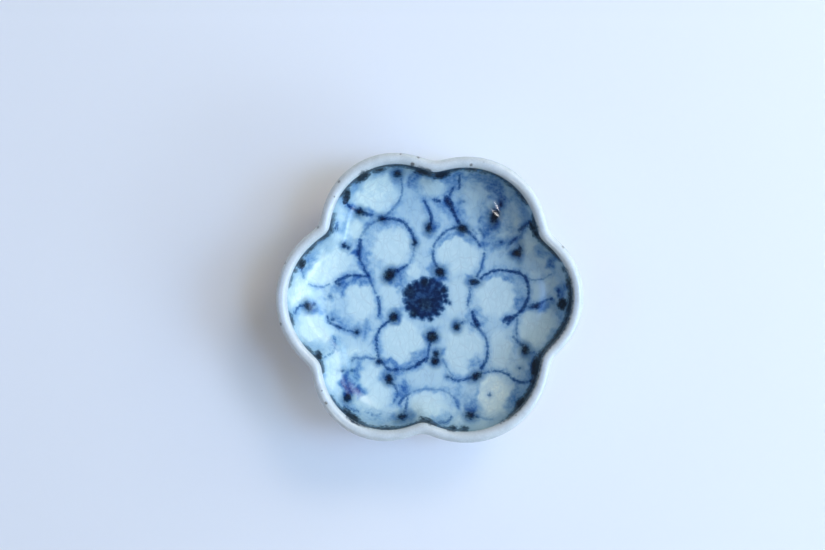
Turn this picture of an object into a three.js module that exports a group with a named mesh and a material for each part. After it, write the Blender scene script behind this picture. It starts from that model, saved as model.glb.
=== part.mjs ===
// Small porcelain dish with six lobes on a round foot ring.
// Millimetres, +Z up. The origin is on the table, under the middle of the foot ring.

import * as THREE from 'three';
import { mergeVertices } from 'three/addons/utils/BufferGeometryUtils.js';

// Outline of the lip's inner edge: six round petals that run into each other
// Angle: where the petal points, in degrees from +X towards +Y
const rightAngle = 1;
const upperRightAngle = 58;
const upperLeftAngle = 116;
const leftAngle = 181;
const lowerLeftAngle = 238;
const lowerRightAngle = 301;
// Reach: how far the petal's tip is from the middle of the dish
const rightReach = 44.7;
const upperRightReach = 44.1;
const upperLeftReach = 44.3;
const leftReach = 44.5;
const lowerLeftReach = 45.2;
const lowerRightReach = 45;
// Round: radius of the petal's own curve
const rightRound = 19.8;
const upperRightRound = 21.8;
const upperLeftRound = 20.1;
const leftRound = 22.2;
const lowerLeftRound = 19.7;
const lowerRightRound = 23.1;
// How softly two petals run into each other
const notchSoftness = 3;

// Heights
const dishHeight = 23;
const footHeight = 5;
const floorThickness = 3.4;

// Widths across the section
const lipWidth = 3.6;
const wellFloorRadius = 30;
const footMiddleRadius = 22;
const footTopWidth = 4.6;
const footEdgeWidth = 2.4;
const footEdgeBevel = 0.9;

// Glaze
const glazeThickness = 0.45;
const bareFootEdge = 1.3;
const footFillet = 1.1;

// Fineness of the faceted surfaces
const turnSteps = 96;
const wallSteps = 5;
const bellySteps = 5;
const lipSteps = 4;
// Points closer than this are one point
const weldDistance = 1e-4;

// Sizes that follow
const petals = [
  { angle: rightAngle, reach: rightReach, round: rightRound },
  { angle: upperRightAngle, reach: upperRightReach, round: upperRightRound },
  { angle: upperLeftAngle, reach: upperLeftReach, round: upperLeftRound },
  { angle: leftAngle, reach: leftReach, round: leftRound },
  { angle: lowerLeftAngle, reach: lowerLeftReach, round: lowerLeftRound },
  { angle: lowerRightAngle, reach: lowerRightReach, round: lowerRightRound },
];
const petalTip = petals.reduce((sum, petal) => sum + petal.reach, 0) / petals.length;
const lipRadius = lipWidth / 2;
const lipMiddle = petalTip + lipRadius;
const lipCentreHeight = dishHeight - lipRadius;
const floorTop = footHeight + floorThickness;
const footInnerTop = footMiddleRadius - footTopWidth / 2;
const footOuterTop = footMiddleRadius + footTopWidth / 2;
const footInnerEdge = footMiddleRadius - footEdgeWidth / 2;
const footOuterEdge = footMiddleRadius + footEdgeWidth / 2;
const filletInner = footInnerTop - glazeThickness - footFillet;
const filletOuter = footOuterTop + glazeThickness + footFillet;

// Distance from the middle to the lip's inner edge, in the direction of angle (radians)
function lipEdge(angle) {
  const reaches = petals.map((petal) => {
    const away = angle - THREE.MathUtils.degToRad(petal.angle);
    const centre = petal.reach - petal.round;
    const across = petal.round ** 2 - (centre * Math.sin(away)) ** 2;
    if (across <= 0 || Math.cos(away) <= 0) return petal.reach / 2;
    return centre * Math.cos(away) + Math.sqrt(across);
  });
  reaches.sort((a, b) => b - a);
  const [first, second] = reaches;
  return (first + second + Math.hypot(first - second, notchSoftness)) / 2;
}

// The lobes are full at the lip and die out on the way to the round floor
function lobedRadius(plainRadius, angle) {
  const edge = lipEdge(angle);
  if (plainRadius >= petalTip) return edge + plainRadius - petalTip;
  const share = THREE.MathUtils.smoothstep(plainRadius, footOuterTop, petalTip);
  return plainRadius * (1 + share * (edge / petalTip - 1));
}

// A station is one level line of the dish: its radius before the lobes, and its height
function station(radius, height) {
  return { radius, height };
}

// Quarter of an ellipse from a level start to an upright end, both ends included
function risingCurve(startRadius, startHeight, endRadius, endHeight, steps) {
  const curve = new THREE.EllipseCurve(
    startRadius, endHeight, endRadius - startRadius, endHeight - startHeight, -Math.PI / 2, 0,
  );
  return curve.getPoints(steps).map((point) => station(point.x, point.y));
}

// Round top of the lip from its inner edge to its outer edge, both ends left out
function lipRound(radius, steps) {
  const curve = new THREE.EllipseCurve(lipMiddle, lipCentreHeight, radius, radius, Math.PI, 0, true);
  return curve.getPoints(steps).slice(1, -1).map((point) => station(point.x, point.y));
}

// Closed solid between level lines. The lines go round the section once, with the
// material on the left, and a line on the axis is a single point.
function solidThrough(stations) {
  const positions = [];
  const firstIndex = [];
  for (const line of stations) {
    firstIndex.push(positions.length / 3);
    const count = line.radius === 0 ? 1 : turnSteps;
    for (let step = 0; step < count; step += 1) {
      const angle = (step / turnSteps) * Math.PI * 2;
      const radius = line.radius === 0 ? 0 : lobedRadius(line.radius, angle);
      positions.push(radius * Math.cos(angle), radius * Math.sin(angle), line.height);
    }
  }
  const vertex = (line, step) => {
    const onAxis = stations[line].radius === 0;
    return firstIndex[line] + (onAxis ? 0 : step % turnSteps);
  };
  const faces = [];
  for (let line = 0; line < stations.length; line += 1) {
    const next = (line + 1) % stations.length;
    const from = stations[line];
    const to = stations[next];
    if (from.radius === 0 && to.radius === 0) continue;
    // Both solids that share a surface cut its cells along the same diagonal
    const outward = from.radius < to.radius || (from.radius === to.radius && from.height < to.height);
    for (let step = 0; step < turnSteps; step += 1) {
      const a = vertex(line, step);
      const b = vertex(next, step);
      const c = vertex(next, step + 1);
      const d = vertex(line, step + 1);
      if (from.radius === 0) faces.push(a, c, b);
      else if (to.radius === 0) faces.push(a, d, b);
      else if (outward) faces.push(a, c, b, a, d, c);
      else faces.push(a, d, b, b, d, c);
    }
  }
  const geometry = new THREE.BufferGeometry();
  geometry.setAttribute('position', new THREE.Float32BufferAttribute(positions, 3));
  geometry.setIndex(faces);
  return mergeVertices(geometry, weldDistance);
}

// Level lines of the clay shell: the well side, from the middle to the lip's inner edge
const clayWell = [
  station(0, floorTop),
  ...risingCurve(wellFloorRadius, floorTop, petalTip + glazeThickness, lipCentreHeight, wallSteps),
];
// The clay lip between its inner and outer edge
const clayLip = lipRound(lipRadius - glazeThickness, lipSteps);
// The outside, from the foot ring to the lip's outer edge
const clayBelly = risingCurve(
  filletOuter, footHeight, petalTip + lipWidth - glazeThickness, lipCentreHeight, bellySteps,
);
// The underside, from the middle to the foot ring's outer top edge
const clayUnderside = [
  station(0, footHeight),
  station(filletInner, footHeight),
  station(footInnerTop, footHeight),
  station(footOuterTop, footHeight),
];

// The same lines on the glaze
const glazeWell = [
  station(0, floorTop + glazeThickness),
  ...risingCurve(
    wellFloorRadius, floorTop + glazeThickness, petalTip, lipCentreHeight, wallSteps,
  ),
];
const glazeLip = lipRound(lipRadius, lipSteps);
const glazeBelly = risingCurve(
  filletOuter, footHeight - glazeThickness, petalTip + lipWidth, lipCentreHeight, bellySteps,
);

// The foot ring's two sides lean in from its top to the bevel above its flat edge
const footOuterSide = station(footOuterEdge + footEdgeBevel / 2, footEdgeBevel);
const footInnerSide = station(footInnerEdge - footEdgeBevel / 2, footEdgeBevel);

function footSideAt(side, top, height) {
  const share = (height - side.height) / (footHeight - side.height);
  return station(THREE.MathUtils.lerp(side.radius, top, share), height);
}
const outerGlazeLine = footSideAt(footOuterSide, footOuterTop, bareFootEdge);
const innerGlazeLine = footSideAt(footInnerSide, footInnerTop, bareFootEdge);

function dishBody() {
  return solidThrough([
    ...clayUnderside,
    ...clayBelly,
    ...clayLip.toReversed(),
    ...clayWell.toReversed(),
  ]);
}

function footRing() {
  return solidThrough([
    station(footInnerEdge, 0),
    station(footOuterEdge, 0),
    footOuterSide,
    outerGlazeLine,
    station(footOuterTop, footHeight),
    station(footInnerTop, footHeight),
    innerGlazeLine,
    footInnerSide,
  ]);
}

function wellGlaze() {
  return solidThrough([
    ...clayWell,
    ...glazeWell.toReversed(),
  ]);
}

function outerGlaze() {
  const lipInnerEdge = [clayWell.at(-1), glazeWell.at(-1)];
  return solidThrough([
    lipInnerEdge[0],
    ...clayLip,
    ...clayBelly.toReversed(),
    station(footOuterTop, footHeight),
    outerGlazeLine,
    station(outerGlazeLine.radius + glazeThickness, outerGlazeLine.height),
    station(footOuterTop + glazeThickness, footHeight - glazeThickness - footFillet),
    ...glazeBelly,
    ...glazeLip.toReversed(),
    lipInnerEdge[1],
  ]);
}

function footWellGlaze() {
  return solidThrough([
    station(0, footHeight - glazeThickness),
    station(filletInner, footHeight - glazeThickness),
    station(footInnerTop - glazeThickness, footHeight - glazeThickness - footFillet),
    station(innerGlazeLine.radius - glazeThickness, innerGlazeLine.height),
    innerGlazeLine,
    station(footInnerTop, footHeight),
    station(filletInner, footHeight),
    station(0, footHeight),
  ]);
}

function piece(name, geometry, color, roughness) {
  const material = new THREE.MeshStandardMaterial({ color, roughness, metalness: 0 });
  const mesh = new THREE.Mesh(geometry, material);
  mesh.name = name;
  return mesh;
}

const dish = new THREE.Group();
dish.add(piece('dish_body', dishBody(), 0xdcdad4, 0.85));
dish.add(piece('foot_ring', footRing(), 0xcfc9bd, 0.85));
dish.add(piece('inner_glaze', wellGlaze(), 0x9db9dc, 0.12));
dish.add(piece('outer_glaze', outerGlaze(), 0xd6dce4, 0.2));
dish.add(piece('foot_well_glaze', footWellGlaze(), 0xd6dce4, 0.2));

export default dish;
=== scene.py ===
import math

import bpy
import mathutils
import numpy as np
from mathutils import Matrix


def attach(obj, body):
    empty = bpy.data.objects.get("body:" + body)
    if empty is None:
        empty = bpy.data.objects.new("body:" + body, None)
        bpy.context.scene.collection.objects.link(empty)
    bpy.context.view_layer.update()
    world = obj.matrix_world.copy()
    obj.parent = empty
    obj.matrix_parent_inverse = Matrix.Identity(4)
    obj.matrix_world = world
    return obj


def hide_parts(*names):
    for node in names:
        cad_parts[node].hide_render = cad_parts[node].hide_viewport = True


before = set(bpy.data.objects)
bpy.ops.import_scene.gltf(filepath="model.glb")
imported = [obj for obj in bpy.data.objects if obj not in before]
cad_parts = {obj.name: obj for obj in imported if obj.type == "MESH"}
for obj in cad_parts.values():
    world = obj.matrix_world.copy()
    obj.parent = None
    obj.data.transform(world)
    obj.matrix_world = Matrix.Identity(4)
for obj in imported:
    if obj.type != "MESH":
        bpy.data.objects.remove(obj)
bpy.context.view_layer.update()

# The camera looks straight down on the dish, a little off its middle, as the photograph does.
# The dish's lip lies 358 mm under the lens, and 1 px of the picture is 0.3125 mm there.
MM = 0.001
LIP_TO_LENS = 358.0
PIXEL_AT_LIP = 0.3125
DISH_MIDDLE_PX = (429.4, 298.0)
PICTURE_PX = (825, 550)
DISH_HEIGHT = 23.0
SENSOR_WIDTH = 36.0

camera_data = bpy.data.cameras.new("camera")
camera_data.sensor_width = SENSOR_WIDTH
camera_data.lens = SENSOR_WIDTH * LIP_TO_LENS / (PICTURE_PX[0] * PIXEL_AT_LIP)
camera_data.clip_start = 10 * MM
camera = bpy.data.objects.new("camera", camera_data)
camera.location = (
    (PICTURE_PX[0] / 2 - DISH_MIDDLE_PX[0]) * PIXEL_AT_LIP * MM,
    (DISH_MIDDLE_PX[1] - PICTURE_PX[1] / 2) * PIXEL_AT_LIP * MM,
    (DISH_HEIGHT + LIP_TO_LENS) * MM,
)
bpy.context.scene.collection.objects.link(camera)
bpy.context.scene.camera = camera
bpy.context.scene.view_settings.view_transform = "Standard"

# The stage is a sheet of white paper in a dim warm room, beside a tall window with many panes on the
# right that look at a blue sky and sunlit walls, so the paper is bluish and the shade on the left is soft.
PAPER_REACH = 8
PAPER_WHITE = (0.8, 0.8, 0.8, 1)
PAPER_ROUGHNESS = 0.9
PAPER_GLOSS = 0.1
ROOM_COLOUR = (1.0, 0.80, 0.25, 1)
ROOM_GLOW = 0.32

floor_mesh = bpy.data.meshes.new("paper")
paper_corners = ((-1, -1, 0), (1, -1, 0), (1, 1, 0), (-1, 1, 0))
floor_mesh.from_pydata(np.array(paper_corners) * PAPER_REACH, [], [(0, 1, 2, 3)])
floor = bpy.data.objects.new("paper", floor_mesh)
bpy.context.scene.collection.objects.link(floor)
paper = bpy.data.materials.new("paper")
paper.use_nodes = True
paper_face = paper.node_tree.nodes["Principled BSDF"]
paper_face.inputs["Base Color"].default_value = PAPER_WHITE
paper_face.inputs["Roughness"].default_value = PAPER_ROUGHNESS
paper_face.inputs["Specular IOR Level"].default_value = PAPER_GLOSS
floor_mesh.materials.append(paper)

room = bpy.data.worlds.new("room")
room.use_nodes = True
room.node_tree.nodes["Background"].inputs["Color"].default_value = ROOM_COLOUR
room.node_tree.nodes["Background"].inputs["Strength"].default_value = ROOM_GLOW
bpy.context.scene.world = room


def window(name, azimuth, elevation, glow, size, distance, roll):
    """A rectangle of light that faces the dish, seen from it at azimuth and elevation in degrees.
    The glow is the red, green and blue that the eye would meet in it. Size and distance are in metres."""
    light = bpy.data.lights.new(name, "AREA")
    light.shape = "RECTANGLE"
    light.size, light.size_y = size
    light.energy = max(glow) * math.pi * size[0] * size[1]
    light.color = [part / max(glow) for part in glow]
    pane = bpy.data.objects.new(name, light)
    facing = mathutils.Euler((math.radians(90 - elevation), 0, math.radians(azimuth + 90))).to_matrix()
    pane.location = facing @ mathutils.Vector((0, 0, distance))
    pane.rotation_euler = (facing @ mathutils.Matrix.Rotation(math.radians(roll), 3, "Z")).to_euler()
    bpy.context.scene.collection.objects.link(pane)
    return pane


def curtain(pane, clear):
    """Fades a window smoothly from its middle, where it is clear to that share of its size, to its edge."""
    pane.data.use_nodes = True
    tree = pane.data.node_tree
    apart = tree.nodes.new("ShaderNodeVectorMath")
    apart.operation = "DISTANCE"
    tree.links.new(tree.nodes.new("ShaderNodeNewGeometry").outputs["Parametric"], apart.inputs[0])
    apart.inputs[1].default_value = (0.5, 0.5, 0.0)
    fade = tree.nodes.new("ShaderNodeMapRange")
    fade.interpolation_type = "SMOOTHSTEP"
    tree.links.new(apart.outputs["Value"], fade.inputs[0])
    for socket, number in zip(fade.inputs[1:], (clear / 2, 0.5, 1.0, 0.0)):
        socket.default_value = number
    tree.links.new(fade.outputs[0], tree.nodes["Emission"].inputs["Strength"])


# Seven panes, as azimuth, elevation and glow: bright sky and a lit wall near the ground, sky and a sunlit
# wall above them, deeper sky and a dark wall at the top, and blue sky seen across the room
PANE_SIZE = (0.9, 0.6)
PANE_DISTANCE = 1.3
PANE_CLEAR = 0.2
for pane_name, pane_azimuth, pane_elevation, pane_glow in (
        ("low_sky", -25, 20, (8.6, 11.3, 15.0)),
        ("low_wall", 25, 20, (6.0, 6.0, 5.4)),
        ("middle_sky", 0, 38, (5.4, 8.9, 15.2)),
        ("sunlit_wall", 50, 38, (9.0, 8.1, 7.6)),
        ("high_sky", 0, 58, (4.2, 6.0, 10.8)),
        ("high_wall", 25, 58, (0.2, 1.5, 1.8)),
        ("far_sky", 180, 50, (1.2, 3.4, 9.6))):
    pane = window(pane_name, pane_azimuth, pane_elevation, pane_glow, PANE_SIZE, PANE_DISTANCE, 0)
    curtain(pane, PANE_CLEAR)
# Two slits between curtains across the room, which only show as a small glint in the glaze: azimuth,
# elevation, size in metres and roll
SLIT_GLOW = (75, 75, 75)
SLIT_DISTANCE = 1.0
for slit_name, slit_azimuth, slit_elevation, slit_size, slit_roll in (
        ("slit_high", 232.2, 44.2, (0.19, 0.022), 115),
        ("slit_low", 229.0, 60.5, (0.08, 0.03), 66)):
    slit = window(slit_name, slit_azimuth, slit_elevation, SLIT_GLOW, slit_size, SLIT_DISTANCE, slit_roll)
    slit.visible_diffuse = False

# Body: a shell of white porcelain clay, pressed over a mould with six petals, left to dry and fired.
# It lies wholly between the glazes, so its solid stays as it is and only takes the clay's material.
# Bare clay fires to a warm grey, a little orange where the glaze ends.
CLAY_GREY = (0.56, 0.50, 0.42, 1)
CLAY_PALE = (0.72, 0.68, 0.61, 1)
CLAY_FLASH = (0.50, 0.32, 0.20, 1)
FLASH_FROM, FLASH_FULL, FLASH_SHARE = 0.6, 1.3, 0.5
BUMP_DEPTH = 0.0002


class Brushwork:
    """Node tree of one material, built up step by step from left to right."""

    def __init__(self, name):
        self.material = bpy.data.materials.new(name)
        self.material.use_nodes = True
        self.tree = self.material.node_tree
        self.face = self.tree.nodes["Principled BSDF"]

    def feed(self, socket, value):
        """Links value to the socket if it comes from a node, and sets it if it is a plain number."""
        if isinstance(value, bpy.types.NodeSocket):
            self.tree.links.new(value, socket)
        else:
            socket.default_value = value

    def finish(self, sockets):
        """Feeds the surface shader's sockets by name."""
        for name, value in sockets.items():
            self.feed(self.face.inputs[name], value)

    def node(self, kind, sockets, **settings):
        """A new node with its settings, and its sockets fed by name or number."""
        made = self.tree.nodes.new(kind)
        for key, value in settings.items():
            setattr(made, key, value)
        for name, value in sockets.items():
            self.feed(made.inputs[name], value)
        return made

    def math(self, how, *values):
        """One step of arithmetic."""
        return self.node("ShaderNodeMath", dict(enumerate(values)), operation=how).outputs[0]

    def add(self, a, b):
        """Sum of two values."""
        return self.math("ADD", a, b)

    def times(self, first, *others):
        """Product of all values."""
        for other in others:
            first = self.math("MULTIPLY", first, other)
        return first

    def total(self, *rows):
        """Sum of products: the values of each row are multiplied together, and the rows are added."""
        whole = self.times(*rows[0])
        for row in rows[1:]:
            whole = self.add(whole, self.times(*row))
        return whole

    def swing(self, noise, width):
        """Noise about 0.5 made into noise about 0, that many times as wide."""
        return self.math("MULTIPLY_ADD", noise, width, -width / 2)

    def rise(self, value, low, high, to_low=0.0, to_high=1.0):
        """A smooth change from to_low at low to to_high at high."""
        sockets = dict(enumerate((value, low, high, to_low, to_high)))
        return self.node("ShaderNodeMapRange", sockets, interpolation_type="SMOOTHSTEP").outputs[0]

    def fade(self, value, low, high):
        """A smooth change from 1 at low to 0 at high."""
        return self.rise(value, low, high, 1.0, 0.0)

    def stored(self, name):
        """A number kept on the mesh."""
        return self.node("ShaderNodeAttribute", {}, attribute_name=name).outputs["Fac"]

    def place(self):
        """Place on the object, in mm."""
        where = self.node("ShaderNodeTexCoord", {}).outputs["Object"]
        return self.node("ShaderNodeVectorMath", {0: where, "Scale": 1 / MM}, operation="SCALE").outputs[0]

    def cloud(self, where, scale, detail=3.0, roughness=0.55):
        """Soft noise about 0.5, with scale lumps in a millimetre."""
        sockets = {"Vector": where, "Scale": scale, "Detail": detail, "Roughness": roughness}
        return self.node("ShaderNodeTexNoise", sockets).outputs["Fac"]

    def blend(self, share, a, b, how="MIX"):
        """Mixes two colours."""
        sockets = {0: share, 6: a, 7: b}
        return self.node("ShaderNodeMix", sockets, data_type="RGBA", blend_type=how).outputs[2]

    def bump(self, height, strength):
        """The fine relief of the surface."""
        sockets = {"Height": height, "Strength": strength, "Distance": BUMP_DEPTH}
        return self.node("ShaderNodeBump", sockets).outputs[0]


clay = Brushwork("bare_porcelain")
where = clay.place()
height = clay.node("ShaderNodeSeparateXYZ", {0: where}).outputs[2]
grit = clay.cloud(where, 4.0, 4.0, 0.7)
bare_clay = clay.blend(clay.rise(grit, 0.35, 0.7), CLAY_GREY, CLAY_PALE)
flash = clay.rise(height, FLASH_FROM, FLASH_FULL, 0.0, FLASH_SHARE)
clay.finish({
    "Base Color": clay.blend(flash, bare_clay, CLAY_FLASH),
    "Roughness": clay.rise(grit, 0.3, 0.7, 0.75, 0.95),
    "Normal": clay.bump(grit, 0.5),
})
body_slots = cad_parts["dish_body"].data.materials
body_slots.clear()
body_slots.append(clay.material)

# Foot ring: a round coil of the same clay, luted on under the dish, then turned, and stoned smooth at
# its bare edge. Like every piece here it is a section turned round the axis; only above the foot do
# the six petals push the section in and out.
PETALS = (  # direction in degrees, reach and roundness in mm
    (1, 44.7, 19.8), (58, 44.1, 21.8), (116, 44.3, 20.1),
    (181, 44.5, 22.2), (238, 45.2, 19.7), (301, 45.0, 23.1),
)
PETAL_TIP = sum(reach for _, reach, _ in PETALS) / len(PETALS)
NOTCH_SOFTNESS = 3.0
FOOT_HEIGHT = 5.0
FOOT_TOP = (19.7, 24.3)
FOOT_EDGE = (20.8, 23.2)
FOOT_BEVEL = 0.9
FOOT_FLAT = 0.4
FOOT_CORNER = 0.15
BARE_EDGE = 1.3
# A point nearer to the axis than this lies on it, in mm
ON_AXIS = 1e-6
OUTER_TURN = 480
outer_turn = np.arange(OUTER_TURN) / OUTER_TURN * 2 * math.pi


def lip_edge(angle):
    """Distance from the middle to the lip's inner edge: the outermost of six circles, and where two
    are as far out, a little more than either."""
    reaches = []
    for degrees, reach, round_ in PETALS:
        away = angle - math.radians(degrees)
        centre = reach - round_
        across = round_ ** 2 - (centre * np.sin(away)) ** 2
        ahead = (across > 0) & (np.cos(away) > 0)
        reaches.append(np.where(ahead, centre * np.cos(away) + np.sqrt(np.maximum(across, 0)), reach / 2))
    first, second = np.sort(np.array(reaches), axis=0)[[-1, -2]]
    return (first + second + np.hypot(first - second, NOTCH_SOFTNESS)) / 2


def ease(value, low, high):
    """0 below low, 1 above high, and a smooth rise between them."""
    share = np.clip((value - low) / (high - low), 0, 1)
    return share * share * (3 - 2 * share)


def lobed(plain, angle):
    """Radius of the dish where a round dish would have radius plain: plain times the petals' share,
    which eases from none at the foot to all at the lip, and beyond the lip's edge a parallel line."""
    edge = lip_edge(angle)
    inside = plain * (1 + ease(plain, FOOT_TOP[1], PETAL_TIP) * (edge / PETAL_TIP - 1))
    return np.where(plain >= PETAL_TIP, edge + plain - PETAL_TIP, inside)


def turned(section, angles):
    """Surface of the dish: each point of the section goes round the axis at its lobed radius.
    Gives x, y and z in mm, one row for each point of the section."""
    plain, height = section[:, :1], section[:, 1:]
    radius = lobed(plain, angles[None, :])
    return np.stack((radius * np.cos(angles), radius * np.sin(angles), height + 0 * radius), -1)


def skin(name, surface):
    """Mesh of a closed skin. surface holds rows of points that go once round the section, with the
    material on the left; a row on the axis becomes one point."""
    rows, steps = surface.shape[:2]
    count = np.where(np.hypot(surface[:, 0, 0], surface[:, 0, 1]) < ON_AXIS, 1, steps)
    first = np.concatenate(([0], np.cumsum(count)))
    points = np.concatenate([surface[k, :count[k]] for k in range(rows)]) * MM
    step = np.stack((np.arange(steps), np.arange(steps) + 1))
    faces = []
    for line in range(rows):
        after = (line + 1) % rows
        (a, d), (b, c) = (first[k] + step % count[k] for k in (line, after))
        if count[line] > 1 and count[after] > 1:
            faces += np.stack((a, d, c, b), 1).tolist()
        elif count[line] > 1:
            faces += np.stack((a, d, b), 1).tolist()
        elif count[after] > 1:
            faces += np.stack((a, c, b), 1).tolist()
    mesh = bpy.data.meshes.new(name)
    mesh.from_pydata(points, [], faces)
    mesh.shade_smooth()
    piece = bpy.data.objects.new(name, mesh)
    bpy.context.scene.collection.objects.link(piece)
    return piece


def straight(start, end, steps):
    """A straight line of the section, as radius and height."""
    return np.linspace(start, end, steps + 1)


def fillet(start, corner, end, steps):
    """A soft bend from start to end, pulled towards the corner: a quadratic curve."""
    t = np.linspace(0, 1, steps + 1)[:, None]
    start, corner, end = (np.array(p, float) for p in (start, corner, end))
    return start * (1 - t) ** 2 + 2 * corner * t * (1 - t) + end * t * t


def foot_side(low, high):
    """Radius where the bare edge ends: the ring's side leans straight from low, at the bevel, to high."""
    return low + (high - low) * (BARE_EDGE - FOOT_BEVEL) / (FOOT_HEIGHT - FOOT_BEVEL)


def stoned(edge, side):
    """Worn corner of the bare edge, from the flat up to the ring's side. side is 1 outside, -1 inside."""
    face = edge + side * FOOT_BEVEL / 2
    return fillet((edge, 0.0), (face, FOOT_CORNER), (face, FOOT_BEVEL), 4)


inner_low = foot_side(FOOT_EDGE[0] - FOOT_BEVEL / 2, FOOT_TOP[0])
outer_low = foot_side(FOOT_EDGE[1] + FOOT_BEVEL / 2, FOOT_TOP[1])
foot_section = np.concatenate((
    [(FOOT_EDGE[0], 0.0)],
    straight((FOOT_EDGE[0] + FOOT_FLAT, 0.0), (FOOT_EDGE[1] - FOOT_FLAT, 0.0), 5),
    stoned(FOOT_EDGE[1], 1),
    [(outer_low, BARE_EDGE), (FOOT_TOP[1], FOOT_HEIGHT), (FOOT_TOP[0], FOOT_HEIGHT), (inner_low, BARE_EDGE)],
    stoned(FOOT_EDGE[0], -1)[:0:-1],
))
foot = skin("bare_foot_ring", turned(foot_section, outer_turn))
foot.data.materials.append(clay.material)
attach(foot, "root")
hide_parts("foot_ring")

# Well glaze: the clear, crazed coat inside the dish, with the scrolls painted under it in cobalt.
# The painter left the petals of the scrolls pale, washed the ground between them with thin blue,
# drew their outlines with a loaded brush and set dots of iron-dark blue where strokes begin or end.
LIP_WIDTH = 3.6
LIP_ROUND = LIP_WIDTH / 2
LIP_HEIGHT = DISH_HEIGHT - LIP_ROUND
GLAZE = 0.45
FLOOR_RADIUS = 30.0
FLOOR_THICKNESS = 3.4
FLOOR_HEIGHT = FOOT_HEIGHT + FLOOR_THICKNESS + GLAZE
WELL_TURN = 720
FLOOR_RINGS, WALL_RINGS, BACK_RINGS = 74, 54, 8
# Points in the fine curve that evenly spaced rings are taken from, and in each step of a stroke
FINE_STEPS, STROKE_STEPS = 2000, 5
# Distances to the painting are kept up to this many mm
FAR = 3.0
HAIR = 1e-9


def run_along(line):
    """Length along a line of points from its start to each of them."""
    return np.concatenate(([0], np.cumsum(np.hypot(*np.diff(line, axis=0).T))))


def rising(start, end, steps):
    """Quarter of an ellipse from a level start to an upright end, as radius and height, cut at equal
    distances along it."""
    fine = np.linspace(0, math.pi / 2, FINE_STEPS)
    line = np.stack((start[0] + (end[0] - start[0]) * np.sin(fine),
                     end[1] - (end[1] - start[1]) * np.cos(fine)), 1)
    run = run_along(line)
    place = np.linspace(0, run[-1], steps + 1)
    return np.stack([np.interp(place, run, line[:, k]) for k in (0, 1)], 1)


turn = np.arange(WELL_TURN) / WELL_TURN * 2 * math.pi
well_section = np.concatenate((
    straight((0, FLOOR_HEIGHT), (FLOOR_RADIUS, FLOOR_HEIGHT), FLOOR_RINGS),
    rising((FLOOR_RADIUS, FLOOR_HEIGHT), (PETAL_TIP, LIP_HEIGHT), WALL_RINGS)[1:],
))
well_back = np.concatenate((
    straight((0, FLOOR_HEIGHT - GLAZE), (FLOOR_RADIUS, FLOOR_HEIGHT - GLAZE), 1),
    rising((FLOOR_RADIUS, FLOOR_HEIGHT - GLAZE), (PETAL_TIP + GLAZE, LIP_HEIGHT), BACK_RINGS)[1:],
))
well_top = turned(well_section, turn)
well_glaze = skin("well_glaze", np.concatenate((turned(well_back, turn), well_top[::-1])))

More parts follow.
